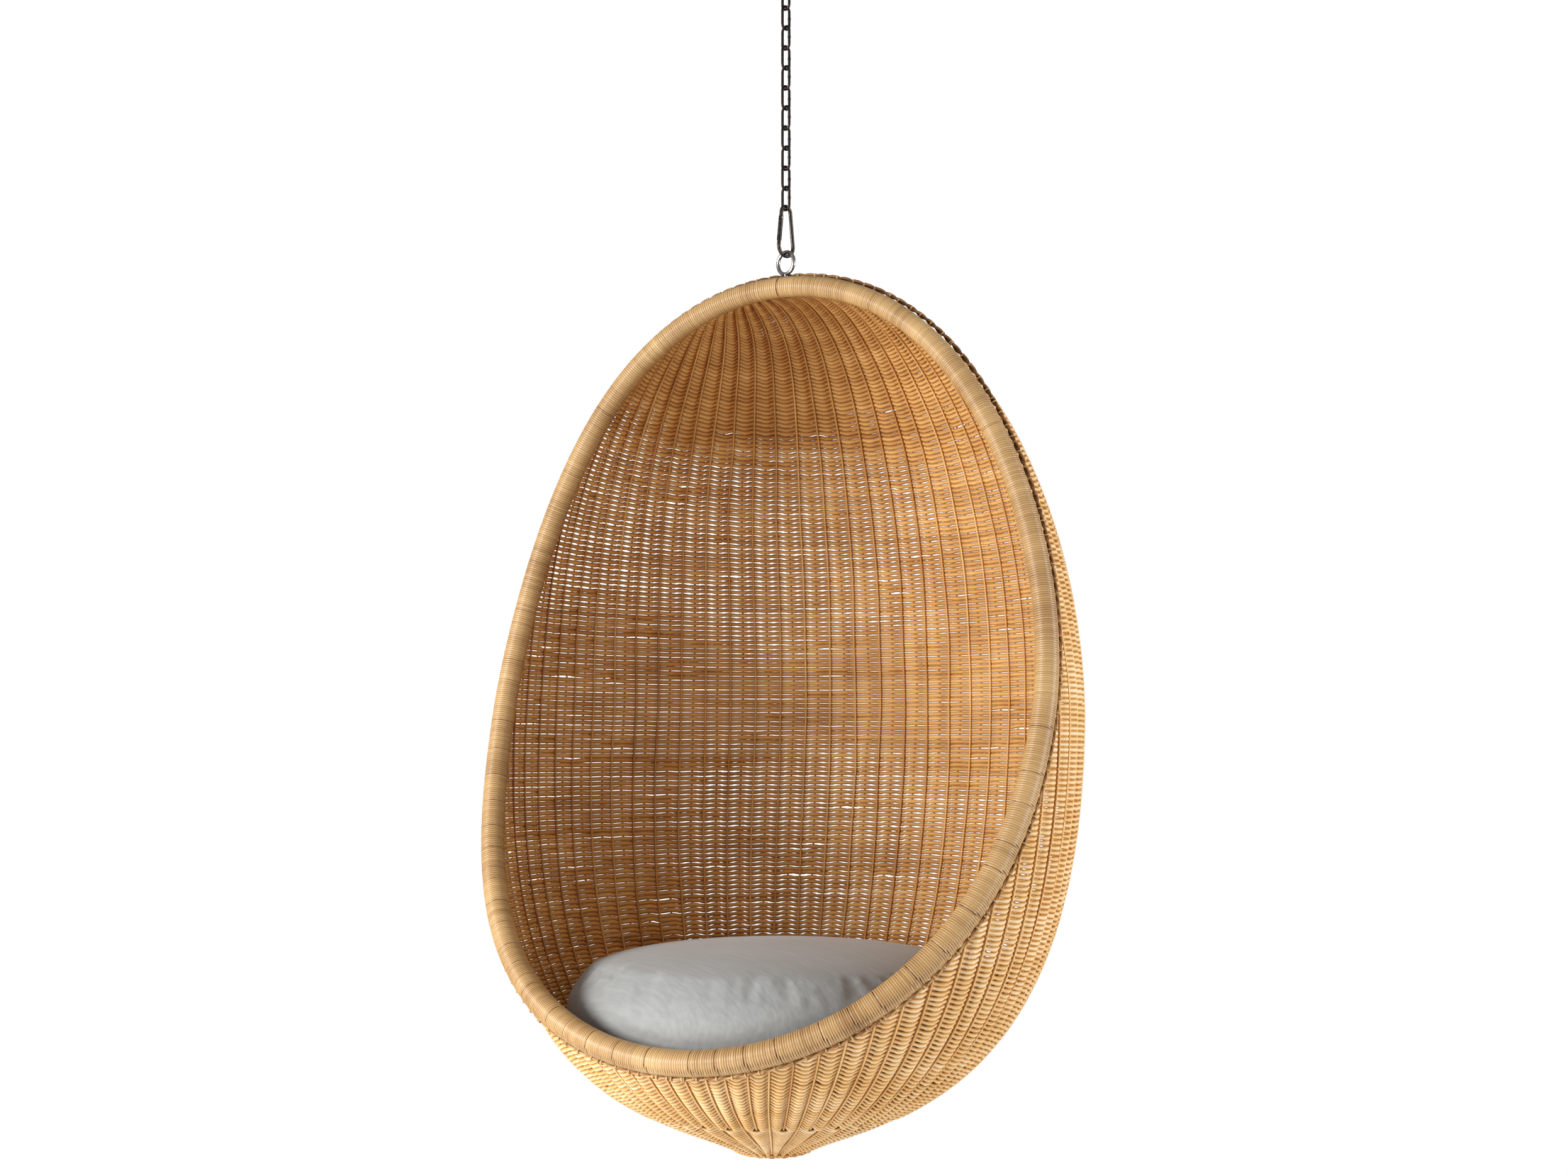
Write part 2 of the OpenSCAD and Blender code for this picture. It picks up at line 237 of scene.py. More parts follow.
def wander(n, step, size):
    """n numbers that drift smoothly, with a new random one every step places."""
    m = int(n / step) + 4
    return np.interp(np.arange(n), np.arange(m) * step, rng.normal(0, size, m))


# ---------------------------------------------------------------- materials


def material(name, build):
    m = bpy.data.materials.new(name)
    m.use_nodes = True
    nt = m.node_tree
    build(nt, nt.nodes["Principled BSDF"])
    return m


def ramp(nt, fac, stops):
    r = nt.nodes.new("ShaderNodeValToRGB")
    el = r.color_ramp.elements
    while len(el) < len(stops):
        el.new(0.5)
    for e, (at, col) in zip(el, stops):
        e.position = at
        e.color = (*col, 1)
    nt.links.new(fac, r.inputs["Fac"])
    return r.outputs["Color"]


def noise(nt, scale, detail=3.0, rough=0.5, vector=None, stretch=None):
    n = nt.nodes.new("ShaderNodeTexNoise")
    n.inputs["Scale"].default_value = scale
    n.inputs["Detail"].default_value = detail
    n.inputs["Roughness"].default_value = rough
    if vector is None:
        vector = nt.nodes.new("ShaderNodeTexCoord").outputs["Object"]
    if stretch:
        mp = nt.nodes.new("ShaderNodeMapping")
        mp.inputs["Scale"].default_value = stretch
        nt.links.new(vector, mp.inputs["Vector"])
        vector = mp.outputs["Vector"]
    nt.links.new(vector, n.inputs["Vector"])
    return n.outputs["Fac"]


def blend_sum(nt, parts):
    """A weighted sum of values."""
    total = None
    for value, weight in parts:
        m = nt.nodes.new("ShaderNodeMath")
        m.operation = "MULTIPLY_ADD"
        nt.links.new(value, m.inputs[0])
        m.inputs[1].default_value = weight
        if total is None:
            m.inputs[2].default_value = 0.0
        else:
            nt.links.new(total, m.inputs[2])
        total = m.outputs[0]
    return total


def attribute(nt, name):
    a = nt.nodes.new("ShaderNodeAttribute")
    a.attribute_name = name
    return a.outputs["Fac"]


def bump(nt, bsdf, height, distance, strength):
    b = nt.nodes.new("ShaderNodeBump")
    b.inputs["Distance"].default_value = distance
    b.inputs["Strength"].default_value = strength
    nt.links.new(height, b.inputs["Height"])
    nt.links.new(b.outputs["Normal"], bsdf.inputs["Normal"])


def cane(stops, rough, coat=0.0, shine=0.12):
    """Cane whose colour follows the mesh's tone, which holds random tone and painted shade, with broad and
    fine stains.
    """
    def build(nt, bsdf):
        fine = noise(nt, 900, 2)
        broad = noise(nt, 14, 3)
        fac = blend_sum(nt, [(attribute(nt, "tone"), 0.62), (broad, 0.28), (fine, 0.10)])
        nt.links.new(ramp(nt, fac, stops), bsdf.inputs["Base Color"])
        bsdf.inputs["Roughness"].default_value = rough
        bsdf.inputs["Specular IOR Level"].default_value = shine
        bsdf.inputs["Coat Weight"].default_value = coat
        bsdf.inputs["Coat Roughness"].default_value = 0.22
        bump(nt, bsdf, noise(nt, 1500, 2), 0.0004, 0.25)
    return build


WEAVE = material("woven cane", cane([(0.2, (0.24, 0.085, 0.02)), (0.42, (0.50, 0.245, 0.075)),
                                     (0.6, (0.72, 0.42, 0.145)), (0.8, (0.84, 0.68, 0.47))], 0.6))
STAKE = material("stake cane", cane([(0.2, (0.36, 0.13, 0.030)), (0.42, (0.58, 0.29, 0.09)),
                                     (0.6, (0.76, 0.47, 0.18)), (0.8, (0.88, 0.64, 0.35))], 0.6))
PEEL = material("peel wrapping", cane([(0.12, (0.16, 0.062, 0.017)), (0.4, (0.47, 0.28, 0.112)),
                                       (0.6, (0.64, 0.415, 0.185)), (0.8, (0.80, 0.60, 0.34))],
                                      0.42, 0.12, 0.4))
DARK = material("dark cord", cane([(0.15, (0.03, 0.012, 0.006)), (0.35, (0.13, 0.055, 0.022)),
                                   (0.55, (0.34, 0.17, 0.07)), (0.8, (0.62, 0.38, 0.17))], 0.5))


def steel(base, rough):
    """Metal with faint dull and dark spots."""
    def build(nt, bsdf):
        fac = noise(nt, 220, 4, 0.6)
        dark = tuple(0.55 * c for c in base)
        nt.links.new(ramp(nt, fac, [(0.3, dark), (0.62, base)]), bsdf.inputs["Base Color"])
        bsdf.inputs["Metallic"].default_value = 1.0
        r = nt.nodes.new("ShaderNodeMapRange")
        r.inputs["To Min"].default_value = rough - 0.08
        r.inputs["To Max"].default_value = rough + 0.14
        nt.links.new(fac, r.inputs["Value"])
        nt.links.new(r.outputs["Result"], bsdf.inputs["Roughness"])
        bump(nt, bsdf, noise(nt, 900, 3), 0.0002, 0.3)
    return build


CHAIN = material("chain steel", steel((0.050, 0.037, 0.030), 0.34))
HOOK = material("hook steel", steel((0.085, 0.070, 0.062), 0.3))
BRIGHT = material("bright steel", steel((0.66, 0.65, 0.64), 0.2))
RING = material("ring steel", steel((0.36, 0.335, 0.325), 0.22))
BRASS = material("washer brass", steel((0.72, 0.52, 0.22), 0.3))


def painted(nt, bsdf):
    """Satin dark grey paint."""
    nt.links.new(ramp(nt, noise(nt, 60, 4), [(0.3, (0.055, 0.052, 0.05)), (0.7, (0.085, 0.082, 0.08))]),
                 bsdf.inputs["Base Color"])
    bsdf.inputs["Roughness"].default_value = 0.45
    bump(nt, bsdf, noise(nt, 1200, 2), 0.0002, 0.3)


def twill(nt, bsdf):
    """Fine diagonal ribs across a light grey cloth."""
    at = nt.nodes.new("ShaderNodeTexCoord").outputs["Object"]
    turn = nt.nodes.new("ShaderNodeMapping")
    turn.inputs["Rotation"].default_value = (0.0, 0.0, math.radians(-62))
    nt.links.new(at, turn.inputs["Vector"])
    rib = noise(nt, 300, 1.0, 0.4, turn.outputs["Vector"], (1.0, 0.045, 0.35))
    soft = noise(nt, 7, 2)
    fine = noise(nt, 1400, 2)
    fac = blend_sum(nt, [(rib, 0.40), (soft, 0.30), (fine, 0.30)])
    nt.links.new(ramp(nt, fac, [(0.3, (0.25, 0.253, 0.247)), (0.7, (0.36, 0.363, 0.352))]),
                 bsdf.inputs["Base Color"])
    bsdf.inputs["Roughness"].default_value = 0.92
    bsdf.inputs["Sheen Weight"].default_value = 0.2
    bsdf.inputs["Sheen Roughness"].default_value = 0.5
    bump(nt, bsdf, blend_sum(nt, [(rib, 0.7), (fine, 0.3)]), 0.0006, 0.4)


def padding(nt, bsdf):
    """Off-white wadding."""
    nt.links.new(ramp(nt, noise(nt, 300, 4), [(0.3, (0.70, 0.69, 0.66)), (0.7, (0.86, 0.85, 0.82))]),
                 bsdf.inputs["Base Color"])


PLATE = material("plate paint", painted)
CLOTH = material("cushion cloth", twill)
WADDING = material("wadding", padding)

# ---------------------------------------------------------------- the weave
PITCH = 7.4              # from one row of weavers to the next
WEAVER_R = 2.0
STAKE_W, STAKE_T = 1.8, 1.7      # half width and half thickness
SWING = STAKE_T + WEAVER_R - 0.35
DEEP = SWING + WEAVER_R - 0.4    # the middle of the weave lies this far under the outer surface
STAKES = 128
FEW_R = 188.0            # inside this radius the base has half the stakes
LEVEL = 820.0            # rows above this height tilt towards the rim's top
RIM_GAP = 7.0            # the rows end this far behind the rim's middle
OVER_W = 10.8            # how close the stakes stand over the crown
SHADE = 0.8              # painted shade: the strands' sides are deeper in colour than their faces, and their inward faces deeper than their outward ones
PER = 4                  # points along a weaver from one stake to the next
FULL_MESH = 165000       # triangles after which the weavers go on in a new mesh


def back_line():
    """Y and Z up the middle of the back, over the crown and forward to the rim's top, a row apart."""
    y_back = axis_y(LINE[:, 1]) + LINE[:, 0]
    over = LINE[::-1]
    over = over[over[:, 0] < 74]
    y_over = axis_y(over[:, 1]) - over[:, 0]
    line = np.vstack([np.stack([y_back, LINE[:, 1]], -1), np.stack([y_over, over[:, 1]], -1)[1:]])
    met = (np.arange(len(line)) > 600) & (line[:, 0] < RIM[0][1] + 9)
    return even(line[: int(np.argmax(met))], PITCH)


def cut_round(mid, e, count=1441):
    """A row's points where the plane through mid, across and along e, meets the wall, and the length
    from the back's middle to one end. The row is closed where it runs below the entrance."""
    omega = np.linspace(-math.pi, math.pi, count)
    p = shoot(mid, np.sin(omega)[:, None] * np.array([1.0, 0, 0]) + np.cos(omega)[:, None] * e)
    ok = p[:, 1] > cut_y(p[:, 2]) + RIM_GAP
    half = count // 2
    if ok[half:].all():
        s = run(p[half:])
        return dict(closed=True, p=np.vstack([p[half:-1], p[:half + 1]]), length=2 * s[-1])
    n = int(np.argmin(ok[half:]))
    right = p[half: half + n]
    left = p[half - n + 1: half + 1][::-1]
    s = run(right)
    return dict(closed=False, p=np.vstack([left[::-1], right[1:]]), s=np.concatenate([-s[::-1], s[1:]]),
                reach=s[-1])


def row_lines(centre):
    """The lines of all rows, level below LEVEL and then fanning out towards the rim's top."""
    half_rim = RIM[:181]
    first = int(np.argmax(centre[:, 1] > LEVEL))
    below = int(np.argmax(half_rim[:, 2] < centre[first - 1, 1]))
    share = (centre[first - 1, 1] - half_rim[below, 2]) / (half_rim[below - 1, 2] - half_rim[below, 2])
    start = half_rim[below] + share * (half_rim[below - 1] - half_rim[below])
    rim_up = np.vstack([start, half_rim[:below][::-1]])
    rim_s = run(rim_up)
    lines = []
    for k, (yb, zb) in enumerate(centre):
        if k < first:
            mid = np.array([0, axis_y(zb), zb])
        else:
            u = (k - first + 1) / (len(centre) - first + 3)
            u = u * (1 + 0.28 * (1 - u))
            at = [np.interp(u * rim_s[-1], rim_s, rim_up[:, i]) for i in (1, 2)]
            mid = np.array([0, 0.65 * at[0] + 0.35 * yb, 0.65 * at[1] + 0.35 * zb])
        row = cut_round(mid, unit(np.array([0, yb, zb]) - mid))
        row.update(k=k, z=zb, r=float(rad(zb)), front=yb < CROWN_Y)
        lines.append(row)
    return lines


def space_stakes(row):
    """How far apart the stakes stand along a row, and whether it has half of them."""
    full = ROUND / STAKES
    z = row["z"]
    high = WIDE * full - (WIDE * full - OVER_W - 0.3) * (max(0.0, z - BELLY) / (1232 - BELLY)) ** 3.3
    row["w"] = row["r"] * full if z < BELLY else (OVER_W if row["front"] else high)
    row["few"] = row["r"] < FEW_R and z < BELLY


rows = row_lines(back_line())
for row in rows:
    space_stakes(row)
turn_row = next(row["k"] for row in rows if not row["few"])
wobble = {j: wander(len(rows) + 1, 14, 0.055) for j in range(-STAKES, STAKES + 1)}
patch = np.array([[rng.normal(0, 1) for _ in range(40)] for _ in range(60)])


def at_row(row, s):
    """Points of a row at arc lengths from the back's middle."""
    if row["closed"]:
        n = len(row["p"])
        u = (np.asarray(s) / row["length"] % 1.0) * (n - 1)
        return np.stack([np.interp(u, np.arange(n), row["p"][:, i]) for i in range(3)], -1)
    return np.stack([np.interp(s, row["s"], row["p"][:, i]) for i in range(3)], -1)


def dense(s, z):
    """How closely the weave is beaten up here, from 0 to 1, in bands and patches."""
    band = np.exp(-((z - 650) / 92) ** 4) + np.clip((z - 1010) / 120, 0, 1) + np.exp(-(z / 50) ** 4)
    band = band + np.clip((-np.asarray(s) - 280) / 120, 0, 1) * np.clip((800 - z) / 60, 0, 1)
    band = band + 0.9 * np.clip(np.minimum(s - 60, 480 - s) / 110, 0, 1) * np.clip((z - 470) / 80, 0, 1)
    u, v = np.clip(np.asarray(s) / 75 + 20, 0, 38.99), np.clip(z / 24, 0, 58.99)
    i, k = np.floor(u).astype(int), np.floor(v).astype(int)
    a, b = u - i, v - k
    cloud = (1 - b) * ((1 - a) * patch[k, i] + a * patch[k, i + 1]) \
        + b * ((1 - a) * patch[k + 1, i] + a * patch[k + 1, i + 1])
    return np.clip(band + 0.27 + 0.3 * cloud, 0, 1)


def stake_shift(j, k):
    """How far stake j strays at row k, in parts of the gap between stakes."""
    return np.array([wobble[int(i)][k] for i in j])


def along(row):
    """A weaver's points: counted in stakes, and as arc lengths from the back's middle."""
    k = row["k"]
    if row["closed"]:
        step = 2 if row["few"] else 1
        idx = np.arange(STAKES // step * PER) / PER * step
        base = np.floor(idx + 0.5).astype(int)
        j = (base + STAKES // 2) % STAKES - STAKES // 2
        if row["few"]:
            j = (j // 2) * 2
        return idx, (idx + stake_shift(j, k)) * row["length"] / STAKES
    reach = int(row["reach"] / row["w"] * PER)
    idx = np.arange(-reach, reach + 1) / PER
    j = np.floor(idx + 0.5).astype(int)
    return idx, np.clip((idx + stake_shift(j, k)) * row["w"], -row["reach"], row["reach"])


def strayed(row, idx):
    """How far a weaver lies above or below its row, with a few slips."""
    n = len(idx)
    drift = wander(n, 9, 0.22)
    for slip in rng.integers(4, max(5, n - 4), int(n / 150 + rng.random())):
        drift += rng.normal(0, 0.9) * np.exp(-((np.arange(n) - slip) / rng.uniform(2, 5)) ** 2)
    if row["closed"]:
        drift[-9:] *= np.linspace(1, 0, 9)
        drift[:9] *= np.linspace(0, 1, 9)
    if row["k"] in (turn_row - 1, turn_row):    # the weave opens where the number of stakes doubles
        off = idx % 4 - 2
        drift += (2.4 if row["k"] == turn_row else -1.6) * np.exp(-(off / 0.5) ** 2)
    return drift


def weave_row(row, tubes):
    """One weaver, in front of one stake and behind the next."""
    step = 2 if row["few"] else 1
    thin = 0.85 if row["few"] else 1.0
    idx, s = along(row)
    p = at_row(row, s)
    nrm = normal(p)
    beat = np.cos(math.pi * idx / step)
    wave = np.sign(beat) * np.abs(beat) ** 0.7
    drift = strayed(row, idx)
    slide = np.cross(nrm, unit(np.gradient(p, axis=0)))
    slide = slide * np.sign(slide[:, 2:3])
    path = p - nrm * (DEEP + SWING * thin * wave)[:, None] + slide * drift[:, None]
    from_back = (idx - STAKES * (idx > STAKES / 2)) * row["w"] if row["closed"] else s
    tight = dense(from_back, p[:, 2].mean())
    near = np.abs(beat) ** 0.3       # 1 beside a stake, 0 between two
    fat = thin * (2.5 + 1.25 * tight + (1.3 - 1.1 * tight) * near) * (1 + rng.normal(0, 0.025))
    tone = 0.52 + wander(len(s), 40, 0.05) + rng.normal(0, 0.03)
    tubes.add(path, nrm, fat, WEAVER_R * thin, 6, row["closed"], tone)


def stake_points(j):
    """Where stake j crosses every second row, and those rows."""
    pts, ks = [], []
    for row in rows[::2]:
        if row["few"] and j % 2 or row["closed"] and j == -STAKES // 2:
            continue
        if row["closed"]:
            s = (j + wobble[j][row["k"]]) * row["length"] / STAKES
        else:
            s = (j + wobble[j][row["k"]]) * row["w"]
            if abs(s) > row["reach"] - 1:
                if len(pts) > 2:
                    break
                continue
        pts.append(at_row(row, np.array([s]))[0])
        ks.append(row["k"])
    return np.array(pts), ks


def woven_wall():
    """All weavers and then all stakes, in a few meshes."""
    # weavers and stakes both carry painted shade on their sides and inward faces, set by SHADE
    weavers = [Tubes(SHADE)]
    for row in rows:
        if weavers[-1].faces() > FULL_MESH:
            weavers.append(Tubes(SHADE))
        weave_row(row, weavers[-1])
    stakes = Tubes(SHADE)
    for j in range(-STAKES // 2, STAKES // 2 + 1):
        path, ks = stake_points(j)
        if len(path) < 4:
            continue
        gaps = [rows[k]["w"] * (2 if rows[k]["few"] else 1) for k in ks]
        nrm = normal(path)
        stakes.add(path - nrm * DEEP, nrm, np.interp(gaps, [4, 8, 20], [1.2, 1.6, STAKE_W]), STAKE_T, 6,
                   False, 0.42 + wander(len(ks), 30, 0.08) + rng.normal(0, 0.06))
    pieces = [t.make(f"weavers_{n}", WEAVE) for n, t in enumerate(weavers, 1)]
    return pieces + [stakes.make("stakes_1", STAKE)]


# ---------------------------------------------------------------- the rim
RIM_STEP = 0.8
TURN = 3.2               # width of one turn of peel
CORD_STEP = 3.0
TWIST = 38.0             # length of one twist of the border
rim = even(RIM, RIM_STEP, closed=True)
rim_out, rim_back = ring_frame(rim)


def rim_wrapping():
    """The pole wound turn by turn with flat peel, with deeper gaps where a new length starts; the grooves
    between turns and the gaps carry painted shade.
    """
    turns = int(round(len(rim) * RIM_STEP / TURN))
    rim_r = RIM_LOW_R + (RIM_TOP_R - RIM_LOW_R) * rim[:, 2] / HEIGHT
    sides = 22
    w = np.arange(sides) * ROUND / sides
    phase = np.arange(len(rim))[:, None] / len(rim) * turns - w[None, :] / ROUND
    ridge = np.sqrt(np.clip(1 - (2 * (phase % 1.0) - 1) ** 2, 0, 1))
    turn_no = np.floor(phase).astype(int)
    turn_tone = rng.normal(0, 0.05, turns + 3) + wander(turns + 3, 9, 0.05)
    lift = rng.normal(0, 0.10, turns + 3)
    split = np.zeros(turns + 3, bool)
    at = 6
    while at < turns:
        split[at] = True
        at += int(rng.integers(10, 21))
    low = np.clip((900 - rim[:, 2]) / 500, 0.12, 1)[:, None]
    slit = (turn_no == turns - 3) * (phase % 1.0 < 0.4)      # by the bolt
    notch = low * split[turn_no] * (phase % 1.0 < 0.3) + slit
    r = rim_r[:, None] - 0.9 + 0.9 * ridge + lift[turn_no] - 1.2 * notch
    ring = rim[:, None] + r[..., None] * (np.cos(w)[None, :, None] * rim_out[:, None]
                                          + np.sin(w)[None, :, None] * rim_back[:, None])
    # painted shade: darker in the grooves between turns and in the gaps and the slit, the gaps more so
    # towards the bottom
    tone = 0.46 + turn_tone[turn_no] - 0.7 * (1 - ridge) - 0.6 * notch
    quads = grid(len(rim), sides, True)[:, [0, 3, 2, 1]]
    return mesh_of("rim_wrapping", ring.reshape(-1, 3), quads, PEEL, tone.ravel())


def border():
    """Two strands twisted round each other behind the rim, and the ties that bind them to it."""
    crest = np.clip((rim[:, 2] - 620) / 500, 0, 1)[:, None]
    core = rim + rim_out * (11.0 + 4.5 * crest) + rim_back * (16.5 - 2.0 * crest)
    core = even(core, CORD_STEP, closed=True)
    out, side = ring_frame(core)
    twists = int(round(len(core) * CORD_STEP / TWIST))
    high = np.clip((core[:, 2] - 620) / 330, 0, 1)       # dark only round the top
    cord = Tubes()
    for strand in (0, 1):
        a = np.arange(len(core)) / len(core) * twists * ROUND + strand * math.pi
        away = np.cos(a)[:, None] * out + np.sin(a)[:, None] * side
        # painted shade: each strand is lighter where it turns outward and darker where it turns in towards
        # the rim
        cord.add(core + (1.2 + 0.7 * high)[:, None] * away, out, 1.5 + 0.5 * high, 1.5 + 0.5 * high, 6, True,
                 0.62 - 0.3 * high + 0.22 * np.cos(a) + wander(len(core), 12, 0.08))
    ties = Tubes()
    a = np.radians(np.linspace(-170, 95, 10))
    for n in range(0, len(core), 7):
        for m in range(1 + int(rng.random() < 0.2)):
            c0 = (n + m + int(rng.integers(-1, 2))) % len(core)
            loop = core[c0] + 3.3 * (np.cos(a)[:, None] * out[c0] + np.sin(a)[:, None] * side[c0])
            ties.add(loop, loop - core[c0], 1.25, 0.7, 5, False, 0.52 + rng.normal(0, 0.1))
    return [cord.make("border_twist", DARK), ties.make("rim_ties", PEEL)]


# ---------------------------------------------------------------- the base hub
HUB_RINGS, HUB_RIBS = 13, 32


def hub_weave():
    """The bound disc that the stakes start from: rings over ribs."""
    down = np.array([0, 0, -1.0])
    c = np.array([0, axis_y(5), 5])
    hub = Tubes()
    count = 136
    a = np.linspace(0, ROUND, count + 1)[:-1]
    for n in range(HUB_RINGS):
        r = 48 - 3.5 * n
        bob = -0.4 + 0.9 * np.cos(16 * a + math.pi * n) + 1.6 * (n == 0)
        path = np.stack([r * np.cos(a), r * np.sin(a), bob], -1) + c
        hub.add(path, np.tile(down, (count, 1)), 1.9, 1.7, 6, True,
                0.5 + wander(count, 16, 0.1) + rng.normal(0, 0.06))
    for t in np.arange(HUB_RIBS) * ROUND / HUB_RIBS:
        reach = np.linspace(3, 53 + rng.uniform(0, 3), 12)
        way = np.array([math.cos(t), math.sin(t), 0])
        rise = np.interp(reach, [0, 44, 56], [0, 0.2, 2.6])
        path = c + way * reach[:, None] + np.array([0, 0, 1.0]) * rise[:, None]
        hub.add(path, np.tile(down, (12, 1)), np.linspace(1.0, 2.0, 12), 1.5, 6, False,
                0.5 + rng.normal(0, 0.1))
    return hub.make("hub_weave", WEAVE)


# ---------------------------------------------------------------- the egg's pieces on their body
egg_pieces = [*woven_wall(), rim_wrapping(), *border(), hub_weave()]
for ob in egg_pieces:
    ob.data.transform(Matrix.Translation(Vector(EGG * MM)))
    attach(ob, "egg")
for ob in egg_pieces:
    if ob.name.startswith(("weavers", "stakes")):
        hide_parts("woven_wall")
    elif ob.name == "rim_wrapping":
        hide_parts("rim_wrap")
    elif ob.name in ("border_twist", "rim_ties"):
        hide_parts("border_cord")
    else:
        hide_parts("base_hub")

# ---------------------------------------------------------------- the cushion
SEAT_Y, SEAT_R = -8.0, 302.0
SEAT_LOW, SEAT_TOP = 19, 290
SEAT_SIDES = 180
SEAT_AT = EGG + np.array([0, SEAT_Y, 0])


def cushion_form():
    """The cushion's crowned form: its underside follows the wall, its top is domed."""
    under = [(np.interp(z - 11, LINE[:, 1], LINE[:, 0]) - 6 - (SEAT_Y - axis_y(z)), z)
             for z in np.arange(SEAT_LOW, 163, 9.0)]
    side = bezier([under[-1], (SEAT_R - 3, 178), (SEAT_R, 190), (SEAT_R, 206)], np.linspace(0, 1, 7))
    top = bezier([(SEAT_R, 206), (SEAT_R, 262), (SEAT_R - 70, 287), (0, SEAT_TOP)], np.linspace(0, 1, 40))
    line = even(np.vstack([[(0, SEAT_LOW)], under, side[1:], top[1:]]), 6.0)[1:-1]
    n = SEAT_SIDES
    a = np.arange(n) * ROUND / n
    verts = np.stack([line[:, 0, None] * np.cos(a), line[:, 0, None] * np.sin(a),
                      np.broadcast_to(line[:, 1, None], (len(line), n))], -1).reshape(-1, 3)
    foot, head, last = len(verts), len(verts) + 1, (len(line) - 1) * n
    verts = np.vstack([verts, [(0, 0, SEAT_LOW)], [(0, 0, SEAT_TOP)]])
    ends = [[foot, (k + 1) % n, k] for k in range(n)]
    ends += [[head, last + k, last + (k + 1) % n] for k in range(n)]
    return verts, grid(len(line), n, False), ends


def puffed(ob, pressure, growth, most):
    """The piece's mesh after a short cloth simulation, each point moved by no more than most metres."""
    bpy.context.view_layer.objects.active = ob
    m = ob.modifiers.new("remesh", "REMESH")
    m.mode = "VOXEL"
    m.voxel_size = 0.006
    m.use_smooth_shade = True
    bpy.ops.object.modifier_apply(modifier=m.name)
    count = len(ob.data.vertices)
    before = np.empty(count * 3, np.float32)
    ob.data.vertices.foreach_get("co", before)
    m = ob.modifiers.new("cloth", "CLOTH")
    c = m.settings
    c.quality = 6
    c.mass = 0.3
    c.tension_stiffness = c.compression_stiffness = 12
    c.shear_stiffness = 5
    c.bending_stiffness = 0.4
    c.use_pressure = True
    c.uniform_pressure_force = pressure
    c.shrink_min = -growth
    c.effector_weights.gravity = 0
    m.point_cache.frame_start, m.point_cache.frame_end = 1, 20
    scene = bpy.context.scene
    for f in range(1, 21):
        scene.frame_set(f)
    got = ob.evaluated_get(bpy.context.evaluated_depsgraph_get()).data
    after = np.empty(count * 3, np.float32)
    got.vertices.foreach_get("co", after)
    ob.modifiers.remove(m)
    scene.frame_set(1)
    move = (after - before).reshape(-1, 3)
    before = before.reshape(-1, 3)
    spread = before[:, :2] - before[:, :2].mean(0)
    drawn_in = (move[:, :2] * spread).sum(1) < 0
    move[drawn_in, :2] *= 0.15           # the wadding keeps the edge out
    far = np.linalg.norm(move, axis=1, keepdims=True)
    move *= np.minimum(1, most / np.maximum(far, 1e-9))
    ob.data.vertices.foreach_set("co", (before + move).ravel())
    m = ob.modifiers.new("finer", "SUBSURF")
    m.levels = m.render_levels = 1
    bpy.ops.object.modifier_apply(modifier=m.name)
    ob.data.polygons.foreach_set("use_smooth", np.ones(len(ob.data.polygons), bool))
    ob.data.update()


verts, quads, ends = cushion_form()
cushion = mesh_of("seat_cushion", verts + SEAT_AT, quads, CLOTH, tris=ends)
middle = np.array([0, 0, 155.0])
wadding = mesh_of("cushion_wadding", (verts - middle) * (0.945, 0.945, 0.88) + middle + SEAT_AT, quads,
                  WADDING, tris=ends)
puffed(cushion, 6.0, 0.006, 0.006)
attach(cushion, "cushion")
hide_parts("cushion_cover")
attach(wadding, "cushion")
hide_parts("cushion_filling")

# ---------------------------------------------------------------- CAD pieces keep their meshes
looks = {"ceiling_plate": PLATE, "thrust_washer": BRASS, "swivel_eye": CHAIN, "swivel_nut": CHAIN,
         "hook_body": HOOK, "hook_gate": HOOK, "gate_pin": BRIGHT, "gate_spring": BRIGHT,
         "eye_bolt": RING, "eye_washer": BRIGHT, "eye_nut": BRIGHT, "rim_pole": STAKE,
         "cushion_cover": CLOTH, "cushion_filling": WADDING}
for name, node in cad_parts.items():
    mat = looks.get(name, CHAIN if name.startswith("chain_link") else STAKE)
    node.data.materials.clear()
    node.data.materials.append(mat)

# ---------------------------------------------------------------- light and floor
AMBIENT = 0.42           # the white surroundings light the chair less than the camera sees them
world = bpy.data.worlds.new("studio")
bpy.context.scene.world = world
world.use_nodes = True
bg = world.node_tree.nodes["Background"]
bg.inputs["Color"].default_value = (1, 1, 1, 1)
seen = world.node_tree.nodes.new("ShaderNodeLightPath")
glow = world.node_tree.nodes.new("ShaderNodeMapRange")
glow.inputs["To Min"].default_value = AMBIENT
glow.inputs["To Max"].default_value = 1.0
world.node_tree.links.new(seen.outputs["Is Camera Ray"], glow.inputs["Value"])
world.node_tree.links.new(glow.outputs["Result"], bg.inputs["Strength"])


def lamp(name, place, target, size, power, size_y=None):
    d = bpy.data.lights.new(name, "AREA")
    d.shape = "RECTANGLE"
    d.size = size
    d.size_y = size_y or size
    d.energy = power
    ob = bpy.data.objects.new(name, d)
    bpy.context.collection.objects.link(ob)
    ob.location = place
    way = Vector(target) - Vector(place)
    ob.rotation_euler = way.to_track_quat("-Z", "Y").to_euler()


lamp("key", (-2.4, -3.2, -0.6), (0.1, 0.2, -1.1), 1.5, 180)
lamp("strip", (3.3, 0.5, -0.8), (0, 0, -1.2), 0.7, 85, size_y=2.4)
lamp("low fill", (-0.6, -2.3, -2.4), (0.05, 0.15, -0.7), 1.0, 24)

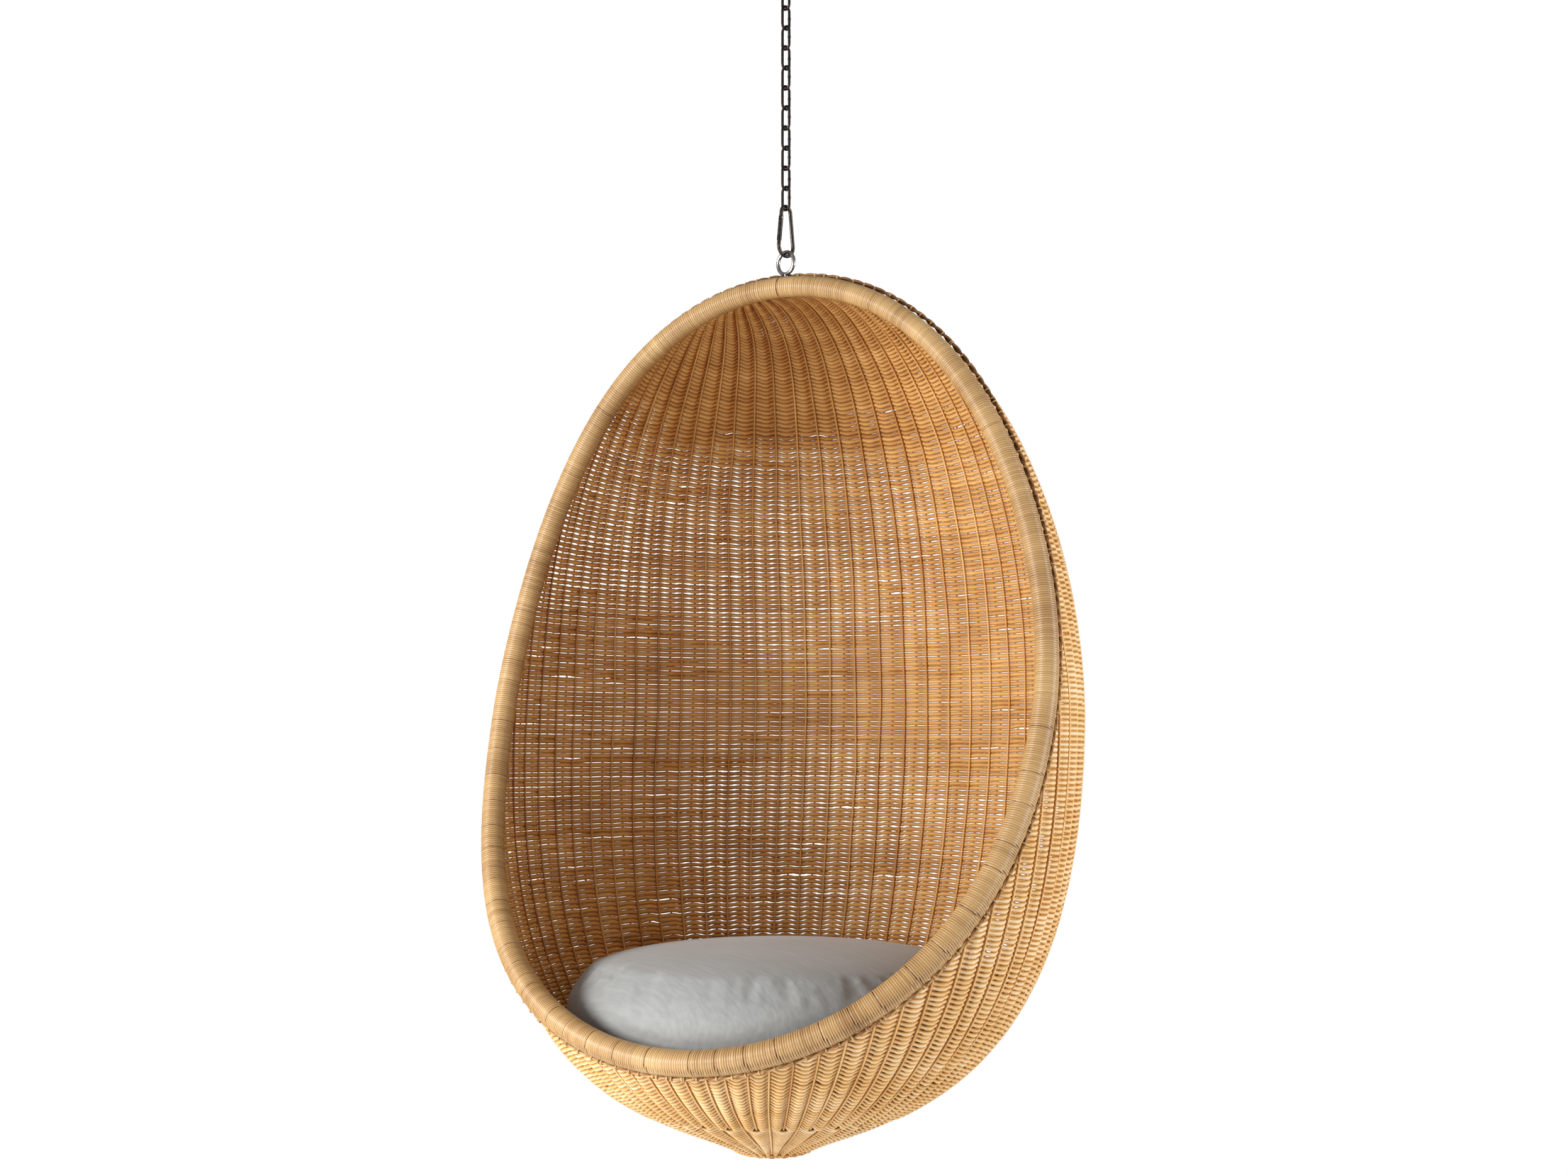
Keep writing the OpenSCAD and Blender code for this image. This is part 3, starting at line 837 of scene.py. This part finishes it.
FLOOR_Z, FLOOR_R = -2.5, 2.5
CORNERS = 48
ways = np.linspace(0, ROUND, CORNERS + 1)[:-1]
floor = bpy.data.meshes.new("floor")
floor.from_pydata([(FLOOR_R * math.cos(t), FLOOR_R * math.sin(t), FLOOR_Z) for t in ways], [],
                  [range(CORNERS)])
floor = bpy.data.objects.new("floor", floor)
bpy.context.collection.objects.link(floor)


def fading(nt, bsdf):
    """A pale floor that fades out round the object."""
    bsdf.inputs["Base Color"].default_value = (0.93, 0.93, 0.93, 1)
    bsdf.inputs["Roughness"].default_value = 0.8
    far = nt.nodes.new("ShaderNodeVectorMath")
    far.operation = "LENGTH"
    nt.links.new(nt.nodes.new("ShaderNodeTexCoord").outputs["Object"], far.inputs[0])
    fade = nt.nodes.new("ShaderNodeMapRange")
    fade.interpolation_type = "SMOOTHSTEP"
    fade.inputs["From Min"].default_value = 2.65
    fade.inputs["From Max"].default_value = 3.45
    fade.inputs["To Min"].default_value = 1.0
    fade.inputs["To Max"].default_value = 0.0
    nt.links.new(far.outputs["Value"], fade.inputs["Value"])
    nt.links.new(fade.outputs["Result"], bsdf.inputs["Alpha"])


floor.data.materials.append(material("pale floor", fading))

# ---------------------------------------------------------------- camera
AZIMUTH, YAW, PITCH_UP = 0.4098, 0.0078, 0.077425        # radians
AWAY, EYE_Y, EYE_Z = 3.2007, 0.070, 0.5516               # metres, from the egg's own origin
cam = bpy.data.cameras.new("camera")
cam_ob = bpy.data.objects.new("camera", cam)
bpy.context.collection.objects.link(cam_ob)
cam.sensor_fit = "HORIZONTAL"
cam.sensor_width = 36.0
cam.lens = 50.3268
cam.clip_end = 100
view = AZIMUTH + YAW
right = Vector((math.cos(view), math.sin(view), 0))
level = Vector((-math.sin(view), math.cos(view), 0))
ahead = level * math.cos(PITCH_UP) + Vector((0, 0, 1)) * math.sin(PITCH_UP)
up = Vector((0, 0, 1)) * math.cos(PITCH_UP) - level * math.sin(PITCH_UP)
turn = Matrix((right, up, -ahead)).transposed().to_4x4()
spot = Vector((AWAY * math.sin(AZIMUTH), EYE_Y - AWAY * math.cos(AZIMUTH), EYE_Z)) + Vector(EGG * MM)
cam_ob.matrix_world = Matrix.Translation(spot) @ turn
bpy.context.scene.camera = cam_ob
bpy.context.scene.view_settings.view_transform = "Standard"
